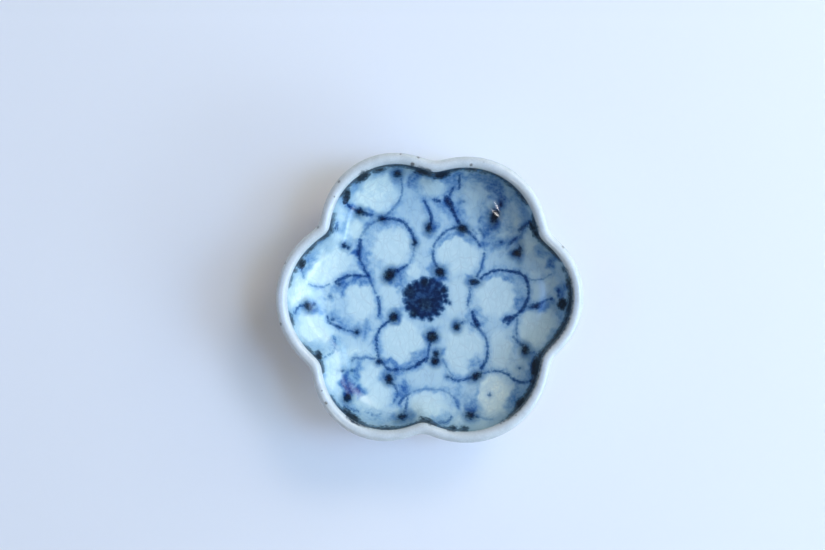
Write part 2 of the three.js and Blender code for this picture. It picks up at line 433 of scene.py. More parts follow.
# Outlines: (darkness, points along the stroke as x, y and half width in mm)
OUTLINES = (
    (.9, (-15, 25.4, .5), (-12.5, 25.5, .45), (-10.2, 25.1, .5), (-8.3, 24.3, .5), (-6.6, 22.5, .5),
        (-5.3, 20.2, .5), (-4.7, 18.4, .5), (-4.4, 17.4, .6)),
    (.3, (-4.8, 15.8, .35), (-4.9, 14.3, .35), (-5.4, 12.6, .3), (-6.6, 10.9, .35)),
    (.95, (-6.9, 10.4, .35), (-9.1, 9.1, .45), (-11.1, 8.3, .55)),
    (.9, (-22.1, 18.6, .5), (-22.3, 16.8, .7), (-22.7, 15, .8), (-22.7, 13.3, .7), (-22, 11.5, .4),
        (-20.9, 9.9, .3)),
    (.95, (-21, 9, .4), (-20.3, 7.9, .5), (-19.6, 6.8, .6)),
    (.6, (-19.3, 6.2, .4), (-18.7, 4.6, .35), (-17.9, 2.9, .3), (-17.3, 1.2, .3)),
    (.78, (-16.5, 0, .4), (-16.3, -1.6, .45), (-16, -3.2, .5), (-16, -4.8, .45), (-16.3, -6.2, .35)),
    (.9, (-20.3, 6.8, .4), (-21.8, 6.8, .4), (-23.3, 7, .4), (-25, 7.1, .4), (-26.6, 6.7, .55),
        (-28.1, 6.2, .5), (-29.4, 5.6, .5), (-30.2, 4.8, .5)),
    (.9, (-11.8, -7.2, .4), (-13.2, -7.9, .4), (-14.6, -9.1, .4), (-16, -10.5, .45), (-16.8, -12.4, .4),
        (-17, -14.1, .4)),
    (.75, (-17, -15.2, .45), (-16.8, -17, .5), (-16.4, -18.8, .45), (-16.1, -20, .5)),
    (.8, (-15.1, -21.3, .45), (-14, -22.6, .45), (-12.8, -23.4, .5), (-11.5, -23.7, .6), (-10.3, -23.6, .6)),
    (.7, (-9.2, -23.4, .3), (-8, -23.6, .35), (-6.8, -23.5, .5), (-5.6, -22.8, .45), (-4.7, -22.3, .35)),
    (.95, (-4.3, -22.4, .5), (-3.2, -21.6, .75), (-2.2, -20.9, .6), (-1.2, -20.4, .7), (-.5, -19.8, .5)),
    (.7, (-.4, -19.3, .4), (0, -17.6, .4), (.2, -16.2, .5), (.4, -15, .4)),
    (.5, (-24.9, -21, .35), (-24.5, -20, .4), (-23.4, -19.7, .35), (-22, -19.8, .4), (-20.5, -19.6, .4),
        (-19, -19.8, .4), (-17.6, -20.1, .45)),
    (.42, (-30.9, -12.7, .3), (-30.4, -13.8, .35), (-30.3, -15.4, .3), (-30.7, -17, .3), (-31.8, -18.3, .3),
        (-33.3, -19, .3)),
    (.85, (-32.9, -6.4, .35), (-32.5, -7.8, .4), (-31.4, -8.8, .45), (-30.3, -9.3, .5), (-29.2, -9.8, .6),
        (-28.2, -10.2, .45), (-26.9, -10.7, .3), (-25.4, -11, .2), (-24.3, -11.2, .2)),
    (.8, (-42.8, -5, .3), (-42.5, -3.9, .3), (-41.8, -3, .35), (-40.8, -2.6, .35), (-39.6, -2.7, .4)),
    (.5, (-40.9, 9.4, .4), (-40.5, 8, .35), (-40.2, 6.3, .3)),
    (.55, (-38.6, 4.2, .2), (-37.4, 3.6, .22), (-35.9, 3.3, .25), (-34.4, 3.3, .3), (-33.1, 3.8, .2),
        (-32.2, 4.3, .2)),
    (.45, (-9, 38, .3), (-8.6, 36.3, .35), (-8.6, 34.5, .35), (-9, 32.6, .3), (-9.8, 30.9, .3),
        (-11.2, 29.2, .3), (-12.8, 27.6, .3), (-14.3, 26.3, .3)),
    (.95, (-26.8, 30.4, .5), (-25.9, 29.4, .45), (-24.6, 28.5, .45), (-23.2, 27.8, .5)),
    (.75, (-21.3, 27.2, .65), (-20, 26.9, .65), (-18.6, 26.6, .4)),
    (.6, (-29.9, 22.2, .5), (-29.3, 23.8, .35)),
    (.9, (-1.6, 31.4, .3), (-1, 30.4, .4), (-.2, 28.8, .45), (.6, 27, .5), (.9, 25.3, .45), (.7, 24, .5),
        (.3, 22.9, .6)),
    (.85, (1.4, 31.7, .35), (2.6, 31.4, .5), (3.6, 31.2, .4)),
    (1, (5.6, 32.2, .8), (6.2, 31.1, 1.3), (7, 29.7, 1.1), (7.8, 28.2, .8), (8.5, 26.7, .55),
        (9.2, 25.2, .5), (10.1, 23.9, .6)),
    (.75, (6.9, 33.3, .4), (7.5, 34.6, .4), (7.8, 35.4, .3)),
    (.85, (9.7, 39, .35), (9.8, 37.8, .45), (9.8, 36.6, .45), (9.7, 35.2, .35)),
    (.75, (2.4, 10.3, .45), (1.7, 11.7, .45), (1.4, 13.3, .45), (1.4, 15.2, .4)),
    (.65, (1.6, 16.4, .35), (2.3, 17.9, .35), (3.2, 19.1, .35), (4.4, 20.4, .45), (5.8, 21.5, .35),
        (7.6, 22.4, .45), (9.2, 22.8, .4)),
    (.7, (12.5, 21.3, .6), (13.8, 20.3, .5), (15, 19.2, .45), (15.9, 17.9, .4), (16.6, 16.6, .4)),
    (.7, (18, 14, .35), (17.8, 12.3, .3), (17.4, 10.5, .3), (16.6, 8.6, .35), (15.6, 6.9, .45)),
    (.6, (13.4, 3, .35), (13.3, 1.4, .4), (13.2, 0, .4), (12.9, -1.5, .4), (12.7, -2.6, .35)),
    (.95, (16.8, 5.9, .3), (18, 7, .4), (19.5, 7.9, .45), (21.2, 8.5, .45), (23, 8.8, .4), (24.8, 8.7, .4),
        (26.5, 8.4, .4), (28, 8.1, .6), (29.3, 8, .6), (30.3, 7.3, .45), (31.3, 6.4, .5), (32, 5, .45),
        (32.3, 3, .5), (32.3, 1, .5), (32, -.8, .55), (31.4, -2.5, .65), (30.4, -3.9, .6),
        (29.2, -5.1, .45), (28.2, -6.1, .55), (27, -6.8, .9), (25.4, -7, .9), (24.6, -7.7, .6)),
    (.95, (27, -6.9, .5), (26.3, -7.8, .7), (25.7, -8.6, .5)),
    (.4, (28.5, -6.6, .4), (28.8, -8.1, .35), (28.6, -9.7, .3), (28.5, -11.3, .3), (28.4, -12.6, .3)),
    (.6, (27.6, -12.8, .4), (28.9, -14.4, .5), (30.3, -15.7, .6)),
    (.4, (32.2, -17.9, .3), (33.4, -17.6, .35), (34.3, -17.5, .3)),
    (1, (32.6, -3.3, .35), (33.6, -3.1, .7), (34.8, -2.9, 1.1), (35.8, -2.5, .8), (36.7, -1.7, .4),
        (38, -.9, .3), (39.6, -.5, .25)),
    (.5, (32.4, 6.2, .2), (33.6, 5.6, .2), (35, 5.5, .22), (36.5, 5.9, .22), (38, 6.6, .22),
        (39.5, 7.6, .2)),
    (1, (14, -4.8, .45), (14.5, -6.3, .6), (15.1, -7.8, .85), (15.7, -9.2, 1.1)),
    (.62, (13.9, -8.6, .45), (15.2, -9.5, .6), (16.6, -10.6, .5), (17.9, -12.3, .4), (18.7, -14.1, .4),
        (19.1, -15.9, .4), (19.2, -16.8, .4)),
    (.85, (19.2, -17.4, .45), (18.9, -19.4, .5), (18.3, -21.2, .55), (17.2, -23, .55)),
    (.75, (7.2, -26.3, .35), (8.4, -26.9, .4), (9.8, -27.1, .4), (11.2, -26.9, .35), (12.5, -26.5, .35),
        (13.8, -26, .45)),
    (.75, (17.2, -24.7, .3), (18.8, -24.4, .25), (20.4, -24.1, .3), (22, -24, .35), (23.6, -24.3, .4),
        (25, -24.7, .45), (26.3, -25.6, .45), (27.5, -26.5, .5), (28.8, -27.1, .45), (30.2, -27.2, .4),
        (31.6, -26.8, .35), (33, -26, .3)),
    (.4, (8, -32.3, .4), (8.7, -33.7, .45), (9.3, -35.1, .4), (9.6, -36, .3)),
    (.5, (-9.6, -34.4, .3), (-8.7, -33.2, .35), (-7.4, -32.1, .4), (-6.1, -31.2, .35)),
    (.3, (-5, -30.7, .3), (-3, -30.1, .28), (-1, -29.9, .3), (1, -29.9, .28), (3, -30, .28),
        (4.6, -30.4, .25)),
    (.6, (-7, -33, .4), (-7.2, -34.8, .5), (-7.8, -36.6, .5)),
    (.6, (-11.5, -28.2, .4), (-10.7, -29.3, .45), (-10.3, -30.5, .4), (-10.3, -32.4, .35)),
    (.5, (-11.6, -34.6, .25), (-11.1, -33.4, .25)),
    (.45, (1.8, -40, .3), (3.6, -39.7, .35), (5.4, -39.6, .35), (6.9, -38.8, .4)),
    (.6, (15, -38, .4), (16.4, -38.4, .3)),
    (.4, (16.5, 22, .4), (17.1, 20.9, .6), (18, 19.9, .4)),
    (.65, (26.2, 17.2, .5), (27.4, 18.3, .6), (28.3, 19.3, .4)),
    (.65, (29.2, 21.5, .5), (30.4, 22.6, .8), (31.6, 23.6, .5), (32.5, 24.2, .3)),
    (.8, (41.5, .4, .3), (41.5, 2.6, .4)),
    (.35, (-3.6, 40.4, .4), (-5.2, 39.5, .4), (-6.3, 38.2, .4), (-6.6, 36.8, .35), (-6.5, 35.6, .3)),
    (.35, (-16.5, 25, .4), (-17.8, 24.3, .4), (-19.3, 23.3, .45), (-20.5, 22, .4), (-21.5, 20.7, .35),
        (-22.2, 19.6, .4)),
    (.35, (4.5, -20, .3), (5.6, -22.2, .3), (6.8, -24.2, .3), (8, -25.6, .3)),
    (.2, (16.4, -38.4, .3), (18.4, -38.9, .25), (20, -38.7, .25)),
    (.3, (5, -30.5, .25), (6.4, -31.2, .3), (7.6, -32, .3)),
    (.7, (3, -39.9, .35), (5.2, -39.8, .4), (6.6, -39.2, .45), (7.2, -38.4, .4)),
    (.35, (14.2, 22, .3), (15.6, 20.6, .3)),
    (.45, (-27, -34.6, .4), (-25, -35.6, .4), (-22.6, -36.4, .35)),
)

# Dots, ovals as all marks below: (x, y, half length, half width in mm, darkness, turn in degrees if any)
DOTS = (
    (-12.8, 7.2, 1.9, 1.4, 1, 55), (3.6, 8.1, 1.5, 1.3, .95, -30), (14.7, 4.9, 1.6, 1, .85),
    (-11.4, -6.5, 1.2, 1.4, .95), (9.1, -9.6, .9, 1.1, .95), (10.9, -8.3, .7, .35, .6, 20),
    (15.2, -9.5, 1, .7, .4), (1.1, -12.9, 1.7, 1.6, .95, -30), (-15.2, 25.5, .9, .7, .95),
    (-4.6, 17.5, .6, .8, .9), (0, 22.5, .85, 1.2, 1), (11, 22.2, 1.6, 1.2, .95, -20),
    (-22.4, 27.6, 1.1, 1, .95), (-22.2, 28.3, .4, .5, .7), (-10, 39.6, 1.1, .9, .95),
    (-27.5, 16.7, .8, .8, .8), (-26.2, 16, .5, .5, .7), (-23.5, -11.4, .8, .9, .8),
    (-38.8, -2.9, 1, 1.3, 1, 30), (-37.3, -2.2, .6, .6, .6), (-16.2, -21, 1, .9, .8),
    (-26.2, -32.3, 1.1, 1.1, .95), (-12.9, -26.7, 1.2, 1.5, .9, 15), (2.4, -18.6, .9, 1.1, .9),
    (2, -20.8, 1.2, 1.2, .95), (-8.6, -38.3, 1.5, .8, .9, 10), (13.3, -38, 1.3, .9, .95),
    (15.4, -25.7, 1.6, 1.1, .95, 30), (31.1, -17, .9, 1.2, 1), (28.6, 14.3, 1.2, 1, 1, 10),
    (29.4, 14.8, .6, 1.5, .9), (21.4, 26.3, 1.2, 2, 1, -10), (23.2, 30, .6, .9, .8), (-32, .3, .9, 1, .3),
    (-29.2, 4.3, .6, .6, .7), (-31.4, -7.3, .6, .5, .6), (23.6, 17.9, .5, .5, .5),
    (19.7, -31.5, .5, .5, .5), (29.3, -22.8, .5, .4, .4), (11.3, 31, .6, .35, .4), (6.2, -25.9, .6, .5, .6),
    (-19.6, -37, .4, .3, .3), (-18.2, -37.6, .35, .3, .35), (-16.8, -37.8, .4, .3, .3),
    (-15.4, -37.4, .4, .3, .35), (-17.2, -38.8, .3, .3, .3), (-25, -23.7, .5, .5, .6),
    (-27.9, -23.7, .6, .5, .6),
)
# A faint dot holds less iron: what its darkness lacks moves the iron's edge in by this many mm
FAINT_DOT = 3.0

# Petals left pale, with how bare each is in the place of darkness
BARE_PETALS = (
    (-16.8, 33.7, 7.3, 5.8, 1, -10), (-12, 16.8, 6, 6.8, 1), (-22, -1.4, 4.4, 6.4, 1),
    (9.6, 14.8, 7.3, 7.3, 1), (21.8, 1, 6.2, 7.2, 1), (11.5, -17.4, 6.6, 8, 1), (-8.6, -14, 6.4, 6.6, 1),
    (-17, -28.6, 5, 7.6, 1), (-.5, -34.6, 6, 4.2, 1), (20.7, -31, 5, 6.2, 1), (35, -10, 5.5, 5.6, 1),
    (35, 3.5, 3.8, 4.6, .9), (25, 22.6, 4.4, 4.4, .8), (-33.5, 9, 6.5, 5.5, 1, 20),
    (-36, -9.5, 6.5, 4.5, 1), (-31, -23, 2.6, 6.4, 1), (-24, 22.4, 2.6, 3.4, 1), (31.8, 18, 2.2, 4.4, 1),
    (.5, 35.4, 4.4, 2.4, .9), (-28, 13, 3.5, 4, .9), (0, -26.5, 5, 3, .4), (23, -17, 3.5, 6, .8),
    (9, 0, 4, 6, .7), (-12, 1, 3.4, 4.6, .6), (-5, 8.8, 2.2, 2.6, .9), (-26, -16.5, 4, 2.4, .5),
    (-33, -.6, 3, 1.6, .7), (-41.5, 1.6, 3.6, 5.4, 1), (-12, -38.2, 9, 2.4, .3), (5, -38.4, 8, 2.6, .6),
    (-29, 26, 2.5, 4, .8), (13.5, 31, 2.5, 4, .8),
)
# Where the petal's edge begins and ends to fade, as a share of the oval, and the wash between petals
PETAL_EDGE = (0.8, 1.2)
WASH = 0.24

# Pools of stronger blue, with their strength. Those below zero are painted light: they take blue away
# where a place is paler than the glaze round it, most of them on the west side, whose wall faces the
# window. Those along the rim on the right, where the wall faces away from the window, are partly painted
# shade.
POOLS_AND_PAINTED_LIGHT = (
    (-22.8, 35.6, 3, 1.4, .5, 52), (-14.5, 40.2, 5, 1.3, .3, 8), (-18.5, 38.8, 2.5, 1, .2, 35),
    (-10.4, 37.4, 2.6, 1.6, .45, 90), (-4.6, 38.4, 2.6, 1.8, .6, 30), (-5.4, 36.4, 1.6, 1.6, .2),
    (-1.5, 39.8, 3, 1.2, .6, -5), (-17.8, 27.2, 1.5, 1.5, .6), (-19.6, 24.8, 1.8, 1.4, .55),
    (-14.5, 26.3, 2, 1, .4, 10), (-11, 28.6, 3.4, 1, .4, 45), (-12.5, 24.4, 3.6, 1.2, .45),
    (-27, 23, 4, 1.2, .45, 85), (-24.5, 29, 1.1, .9, .8, -30), (-20.6, 28.3, 2.8, .7, .6, -10),
    (-24.5, 25.8, 3, 1.2, .35, -20), (-21.3, 12, 3.2, 1.5, .9, 105), (-20.6, 15, 1.8, 1.2, .4, 100),
    (-24.2, 13.6, 1.6, 1.2, .5, 60), (-19.5, 19.5, 4, 2, .35, 80), (-16.5, 10.8, 2.2, 1.5, .3),
    (-8.6, 6, 2.4, 1.8, .6, 60), (-34.5, 17, 4.2, 1.2, .1, 42), (-37.4, 12.4, 2.6, 1.6, .6, 60),
    (-39.5, 8.6, 2, 1, .4, 80), (-42.3, 5.2, 2.2, 1.2, .1, 80), (-28.2, 3.2, 2.2, 1.6, .9, 70),
    (-30.6, 2.2, 1.6, 1, .5, 60), (-27.6, 1.6, 1.6, .8, .5, 90), (-31.8, -.4, 1, .9, .5),
    (-25.4, 5, 3.4, 1.6, 1.3, 8), (-20.6, 5, 2.6, 1.4, 1, -20), (-18.4, 6.8, 1.2, 2, .8),
    (-11.4, 4.8, 2, 1.3, .9), (-9.8, 7.9, 3, 1.1, .9, 25), (-9, 3, 2, .9, .6, 75), (.8, 9.2, 1, 2.2, .8),
    (-9.6, -5.2, 1.1, 2.6, .8), (5.3, 5.6, .9, .9, .7), (-15.5, -5.5, .9, 2.4, .6),
    (-36.3, -4.2, 2, 1.2, .7, -10), (-41.5, -3.6, 1.6, 1.6, .2), (-42.2, -6.8, 1.8, 1.2, .25, 100),
    (-30.5, -6.2, 3.2, 1.8, .6, -30), (-27.5, -8.2, 2.4, 1.8, .45, -20), (-21.8, -9.6, 2.8, 2.4, .4),
    (-20.5, -13, 1.5, 2, .3), (-17, -14.5, 2.4, .9, .5, 90), (-15.6, -17.2, 1.6, 1, .5, 100),
    (-37.6, -15.4, 3, 1.4, .2, -38), (-33.8, -15.4, 2.6, 1.8, .15, 10), (-33.6, -24.6, 1.8, 1.1, 1, 100),
    (-27, -27.4, 3.2, 1.3, 3, 90), (-26.6, -22.8, 1.8, 1.2, .2), (-25.4, -28.4, 3.6, 1, 1.3, 88),
    (-23.2, -24.4, 4.2, 1.3, 1.2, 88), (-25, -35, 2.6, 1.3, .2, 110), (-28.8, -33.6, 2.4, 1.2, .1, -50),
    (-21.5, -37.4, 3.4, 1.6, .1, -25), (-14, -38.9, 6, 1.4, .4), (-16.8, -36.6, 4, .8, .1),
    (-12.6, -21.1, 2.4, 1.1, 1.6, -25), (-14.2, -25.4, 2, 2.4, .8), (-20.4, -9.8, 1.1, 2.4, .6),
    (-10, -24.8, 1.3, 1.6, .8), (-8, -22.6, 3.4, 1.2, .75), (-4, -20.6, 2.4, 1.3, .7, 40),
    (-.6, -16.8, 3.2, 1, .55, 80), (-12.8, -23.8, 2.2, 1.6, .2), (-3.4, -18.2, 2.8, 1, .9),
    (-8.4, -29.6, 2.6, 1.7, 1.7, 90), (-8.9, -33, 1.6, 1, .5, 60), (-10.4, -32.6, 2, .7, .8, 85),
    (-9, -35, 2, .8, .6, 88), (-5.6, -37.8, 1.8, 1.6, .5, 90), (-7, -30.3, 2, 1, .5, 20),
    (-3, -30.2, 4, .8, .35, 5), (2.5, -30.1, 5, .7, .35), (4.6, -38.4, 2.8, 1.5, .4, 10),
    (1.6, -38.4, 1.5, 1, .4), (9.4, -30.2, 3.2, 1, .4, 90), (9.2, -36.4, 2, 1, .3, 100),
    (14, -35.4, 2.6, 1.7, 1.2), (9.6, -34.4, 1, 2, .6), (16.6, -22.4, 1.2, 1, .8),
    (12.4, -32.6, 2.2, 1.6, .4), (15.6, -31.6, .8, 2.6, .6), (1.8, -18.6, 2.6, 2.6, .1, 90),
    (4.6, -17.8, 1.2, 1.8, .9), (4.8, -22, 3, .7, .35, 110), (14.3, -22.8, 2.6, 1.8, .45, 40),
    (10.5, -26.2, 3.4, 1, .4, 5), (27.3, -32.4, 4.6, 1.9, .9, 62), (29.5, -33.4, 3, 1.6, .5, 50),
    (22, -38.4, 5, 1.2, .1, 20), (33.2, -22.6, 4, 1.5, 1.1, 85), (31, -25.6, 2.4, 1.6, .35, 60),
    (28.6, -9.8, 3.6, .8, .3, 90), (28, -16.4, .9, 2, .4), (39.2, -12.8, 4.6, 1.2, .5, 50),
    (17.4, -8, 2, 1.2, .5, 100), (16, -4.8, 1.6, 1.4, .6), (13.3, -6.2, .9, 1.8, .6),
    (13.4, -10.2, 1.8, 1.2, .3), (8.8, -8.8, 2.6, 2.2, .1), (29.4, 1.6, 5.4, 1.8, .45, 90),
    (26, 5.8, 2.2, 1.2, .8, -40), (22.6, 6.9, 4.6, .9, .6, -5), (19, 6.4, 2, .7, .5, 35),
    (28.7, -1.8, 1.4, 2, 1), (42.6, 1.8, 3, 1.2, 1.4, 95), (38.6, -2.8, 2.6, 1.7, 1, 20),
    (42.2, -5.4, 2.8, 1.2, .6, 95), (39.2, 11.1, 2.2, 1.3, 2, 95), (40.8, 7.4, 2.6, 1.4, .15, 110),
    (31.6, -4.3, 1.4, .8, .8), (36.2, 14.4, 2.4, 1.6, .8, -50), (27.2, 14, 1.4, 1.2, .5),
    (26, 12.2, 1.8, 1, .15), (21.6, 15.6, 2.4, 1, .5), (26.8, 22, 1.3, 2.4, .5),
    (14.4, 3.4, 2.4, 1.2, .2, -20), (4.6, 29.6, 1.6, 2.6, .6, -30), (7.6, 38.9, 2.6, 1.3, .6, 5),
    (8.7, 37, .8, 2.2, .9), (4.4, 38, 2.4, 1.2, .8), (-3.4, 38.8, 2.8, 1.3, .8, 20),
    (6.8, 36.4, 1.4, 2, .6), (2.6, 38.6, 2.4, 1, .6, -10), (13.2, 38.9, 3, 1.2, .8),
    (15.4, 37.4, 1.7, 1.4, .8), (18.6, 35.4, 1.4, 1, .8), (19, 37.6, 3.4, 1.5, 1.2, -30),
    (22.9, 34, 4.2, 1.6, 1.4, 95), (25, 24.4, 3.2, 2.6, .35), (18.5, 28.6, .8, 2.6, .7),
    (20.5, 22.5, 2.4, 2.2, 1.2), (26.5, 33.5, 4, 1.6, .15, -48), (29.8, 28, 3.6, 1.6, .8, 105),
    (24.4, 30, 2.6, 4, .5), (26.8, 31.4, 1.6, 1.4, .5), (10.6, 28.6, 2.8, 1.6, .7, -70),
    (17.8, 24.2, 4.2, 1.7, .45, 95), (18.2, 17.6, 1.5, 2.2, .9), (23.4, 18, 4.8, 1.8, .9),
    (29.6, 20.6, 2.8, 1.5, .8, 50), (31.4, 24.4, 1.6, 1, .3, 45), (36, 16.5, 2.6, 1.4, .15, -40),
    (8.6, 28.6, 1.2, 2.4, .3, 15), (6.4, 33.2, 1.2, 1, .8), (6.2, 26.8, 1.2, 2.2, .6, 30),
    (14.5, 17.8, 2.4, 1, .35, -50), (12, 19.2, 2.6, 1.1, .8, -35), (8.2, 20.2, 3.4, 1, .9, 8),
    (4.4, 18.4, 2.4, .9, .9, 50), (2.4, 23.2, 1.5, 2.4, .8), (-.4, 29.6, 2, 1.4, .5, -60),
    (-3.6, 35.4, 1.6, 2.6, .45), (-13.6, 22.8, 3.2, 1.3, .6, 8), (3.6, 8.4, 2.6, 2.2, .3),
    (5.6, 10.2, 2, 1.6, .45), (-34.8, 18.2, 2, 1.3, 1, 45), (-30, 19, 2.6, 2.6, -.2),
    (-23.8, 35.4, 2.6, 1, .5, 60), (-38.6, 12.6, 1.2, 1.6, .6), (-24.4, 14.2, 1.8, .9, 1.2),
    (-26, 17.4, 2.2, 1.2, .5), (-38.8, 9.6, 1.6, 1, .5), (-35.6, -5.2, 1, 1, .6), (-34.6, -.6, 1.2, 1, .5),
    (-19.3, 14.2, 1.3, 1.1, 1), (-19.4, 6.9, 1, 1, 1.2), (-8.8, 6.2, 1.6, 1.2, .7), (3.4, 6, 1.8, 1, 1.2),
    (-9.6, -6.6, 1.4, 1.6, .8), (-12, -8.4, 1.6, .8, .6), (.8, -10, 2.2, 1.2, .3), (-1.6, -13, .8, 1.6, .6),
    (-23.8, -30.4, 3.2, 1.5, 2.3), (15, -20.6, 2.6, 1.4, .6, 40), (13.8, 6.9, 1.2, .8, .8),
    (17.6, 10.6, .9, 2.4, .6, 10), (20.6, 34, 1.4, 2.6, 1.2), (18.2, 21, 1.4, 1.2, 1.2),
    (17, 25.2, 1, 1.4, .9), (22.4, 22.4, 2.2, 1.6, .6), (-29.5, -15.5, 3, 2.6, .3),
    (2.6, 22.4, 1.4, 1.8, .5), (-.5, 20.2, 2.4, .9, .5), (9.6, 26.2, 1, 2.4, .8, 20),
    (-22.5, -18, 3.2, 1.8, -.2), (-16.8, 33.5, 7.5, 6.5, -.17), (-41.5, 1, 4.5, 6.5, -.15),
    (-33.5, 9, 7, 6, -.1), (20.7, -31, 5.5, 7, -.2),
)
POOL_EDGE = (0.15, 1.6)

# The line under the lip: (direction in degrees, thickness in mm), broken where the brush ran dry
LIP_LINE = (
    (0, .6), (3.8, .4), (7, .25), (10.5, .05), (14.7, .05), (19.3, .4), (26, .4), (29, .6), (35.6, .6),
    (38.7, .1), (41, 0), (44, .1), (46.4, .6), (49.6, .2), (56.7, .15), (63.8, .1), (66.5, .1), (67.5, 0),
    (69.3, .1), (74.4, .1), (75.3, 0), (76.2, .3), (82.8, .6), (84.8, .6), (87.8, .4), (90.7, .6),
    (94.9, .6), (98, .5), (103, .3), (108.5, .3), (113, .4), (115, .2), (117, .6), (119, .6), (121.5, .3),
    (125, .2), (127.5, .3), (130.6, .25), (132, 0), (137, 0), (138.5, .1), (144.6, .7), (146.5, .6),
    (149, .2), (162, .2), (165.6, .6), (167.2, 0), (168.4, .4), (169.6, 0), (171.6, .1), (175.5, .1),
    (176.5, 0), (199, 0), (199.9, .05), (204, .15), (207, .3), (208, .6), (209.5, .4), (214.6, .4),
    (216, 0), (224.5, 0), (225.5, .1), (230.8, .1), (234.4, .5), (240.9, .5), (243.5, .2), (250, .25),
    (257.7, .15), (259.5, .1), (261.7, .1), (264.3, .2), (266.4, .4), (268.2, .6), (271.2, .6), (274.2, .1),
    (276.9, .1), (280.5, .3), (282.3, .1), (284.9, .1), (288.4, 0), (297.3, 0), (303.9, .1), (311.7, .6),
    (314.6, .7), (322.5, .6), (332.4, .6), (333.7, .4), (337.2, .4), (345.2, .7), (348, .6), (352.2, .5),
    (356.1, .7), (360, .7),
)
PLAIN_LINE = 0.75
# Where the line is broken it is moved away by the first of these, and where it comes back from no
# thickness to the second it is whole, in mm
BROKEN_AWAY, WHOLE_LINE = 2.5, 0.1

# Dabs on the line under the lip, with their darkness
LIP_DABS = (
    (-26.3, 32.6, 2.1, .8, 1, 78), (-21.2, 38.5, 2.6, 1, 1, 36), (-15.8, 40.6, 1.6, .5, .8, 14),
    (-5.2, 41.5, .8, .6, .9), (-1.8, 40, 2.8, .8, 1, -16), (4, 39.2, 2.4, .9, 1, 12),
    (13.2, 40.7, 1.7, .4, .9, -3), (17.6, 39.9, 1, .4, .5, -15), (22.8, 38.2, 1.6, .5, .5, -30),
    (25.2, 36.2, 1.4, .5, .5, -40), (28.6, 33, 1.4, .6, .5, -45), (30.8, 32, .9, .7, .8),
    (32.9, 22.4, 1.5, .6, 1, -62), (34, 20.3, 1.3, .8, 1, -60), (40.2, 14, 1, .4, .8, -55),
    (42.8, 9, .8, .5, .4, -70), (44.2, 4.6, 1.6, .5, .8, -80), (44.7, .6, 2.4, .45, .9, -90),
    (42.6, -2.1, 1.6, 1.2, .9, 80), (43.2, -8.8, 1.4, .8, 1, 65), (41.3, -11.6, 1.8, .6, .9, 58),
    (37.6, -15.8, 2.4, .5, .9, 40), (34.3, -22.2, 3.6, 1.5, 1, 82), (33.2, -27, 1.8, .8, 1, 75),
    (32.2, -30, 1.8, .6, .9, 64), (29.3, -33.5, 2.4, 1.2, 1, 50), (26, -37.2, 1.8, .5, .9, 42),
    (23.2, -39.2, 1, .4, .3, 35), (11, -41.6, 1, .5, .6, 5), (7.6, -41.4, .9, .5, .9),
    (-.2, -39.3, 1.8, .5, 1, -22), (-4.8, -40.6, .8, .4, .7, 15), (-14, -41.3, 3.2, .3, .7),
    (-24.4, -38.1, 3.7, 1, 1, -36), (-26.6, -36, 1, .5, .9, -40), (-30.8, -32, 1.2, .3, .7, -50),
    (-35.2, -18.6, 1.3, .8, 1, -70), (-38.4, -16.2, 1.8, .3, .8, -42), (-43.6, -7, 1.3, .35, .8, -75),
    (-43.9, 5.6, 1.2, .3, .6, 75), (-42.6, 8.6, .5, .5, .7), (-40.6, 10.8, 1.4, .9, 1, 70),
    (-37.2, 15.9, 2.4, .3, .8, 48), (-33.2, 19.4, 2.2, .4, .9, 34), (-31.4, 21.6, .7, .6, .8),
    (-30.6, 24, 1.6, .3, .5, 75),
)
# How far out of the line a dab sets its own darkness, in mm
DAB_REACH = 0.6

# The flower in the middle: its heart and the touches of the brush round it, as x, y and radius in mm
FLOWER = (-1.3, -0.8, 6.1)
FLOWER_TOUCHES = (
    (-6.9, 1.5, 1.7), (-6, 3, 1.3), (-4, 4.2, 1.4), (-1.5, 5, 1.7), (1, 4.8, 1.6), (3, 3.8, 1.6),
    (4.7, 2.3, 1.6), (5.2, .4, 1.2), (5.5, -1.2, 1), (6.8, -1.9, .5), (4, -3.6, 1.1), (2.6, -5.2, 1.2),
    (.5, -6.9, 1), (-2.2, -6.3, 1.3), (-4.8, -5.3, 1.6), (-6.6, -3.4, 1.3), (-7.2, -1.2, 1.3),
)
# The greenish dark places in it, as x, y and radius in mm
FLOWER_SHADES = (
    (-6.4, 1.7, 2), (-1, -2.4, 2.2), (-1.4, 4.8, 1.4), (5, 2.2, .9), (-5.2, -5, 1.3),
)
# Its rings of florets: how many, turn in radians, distance from the middle and width in mm
FLORET_RINGS = ((9, 0.6, 2.9, 1.2), (15, 0.0, 5.4, 1.3))
FLORET_DEPTH = 0.2
# The outer florets are paler by this much, between these two distances from the middle in mm
PALE_RIM, PALE_FROM, PALE_TO = 0.3, 2.5, 6.0


def spread(points, times):
    """A smooth curve through given points: Catmull-Rom, with every coordinate eased alike."""
    p = np.array(points, float)
    p = np.concatenate((2 * p[:1] - p[1:2], p, 2 * p[-1:] - p[-2:-1]))
    t = np.linspace(0, 1, times, endpoint=False)[:, None, None]
    a, b, c, d = p[:-3], p[1:-2], p[2:-1], p[3:]
    curve = b + t / 2 * (c - a + t * (2 * a - 5 * b + 4 * c - d + t * (3 * (b - c) + d - a)))
    return np.concatenate((curve.transpose(1, 0, 2).reshape(-1, p.shape[1]), p[-2:-1]))


def stroke_gap(x, y, points):
    """How far each place lies outside a brush stroke, in mm: its distance from the curve, less the
    stroke's half width there."""
    line = spread(points, STROKE_STEPS) if len(points) > 2 else np.array(points, float)
    best = np.full(x.shape, FAR)
    for (ax, ay, aw), (bx, by, bw) in zip(line[:-1], line[1:]):
        length = (bx - ax) ** 2 + (by - ay) ** 2 + HAIR
        along = np.clip(((x - ax) * (bx - ax) + (y - ay) * (by - ay)) / length, 0, 1)
        gap = np.hypot(x - ax - along * (bx - ax), y - ay - along * (by - ay)) - aw - along * (bw - aw)
        best = np.minimum(best, gap)
    return best


